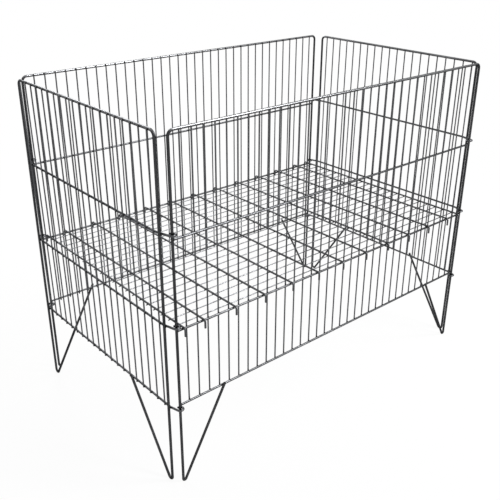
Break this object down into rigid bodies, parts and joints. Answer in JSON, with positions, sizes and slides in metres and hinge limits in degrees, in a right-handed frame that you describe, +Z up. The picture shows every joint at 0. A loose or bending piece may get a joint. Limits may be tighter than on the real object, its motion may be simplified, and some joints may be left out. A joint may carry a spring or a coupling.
{
  "type": "retail dump bin",
  "caption": "Open-topped folding wire bin on V-shaped wire feet, with upright wires on each side and a hooked wire mesh shelf inside at mid height.",
  "frame": {"origin": "centre of the footprint, on the floor that the feet stand on", "axes": "+X along the long side to the right, -Y is the front, +Z up"},
  "size_m": [1.0116, 0.6134, 0.808],
  "materials": {
    "plated_wire": "bright plated steel wire"
  },
  "bodies": {
    "frame": {"front_hoop": "plated_wire", "front_mid_rail": "plated_wire", "front_deck_rail": "plated_wire", "front_base_rail": "plated_wire", "front_infill": "plated_wire", "back_hoop": "plated_wire", "back_mid_rail": "plated_wire", "back_deck_rail": "plated_wire", "back_base_rail": "plated_wire", "back_infill": "plated_wire", "left_hoop": "plated_wire", "left_mid_rail": "plated_wire", "left_deck_rail": "plated_wire", "left_base_rail": "plated_wire", "left_infill": "plated_wire", "right_hoop": "plated_wire", "right_mid_rail": "plated_wire", "right_deck_rail": "plated_wire", "right_base_rail": "plated_wire", "right_infill": "plated_wire"},
    "shelf": {"shelf_cross_rods": "plated_wire", "shelf_edge_rods": "plated_wire", "shelf_mesh_wires": "plated_wire"}
  },
  "joints": [
    {"name": "shelf_tip", "type": "hinge", "parent": "frame", "child": "shelf", "pos_m": [0, 0.2954, 0.3904], "axis": [-1, 0, 0], "range_deg": [0, 60]}
  ]
}
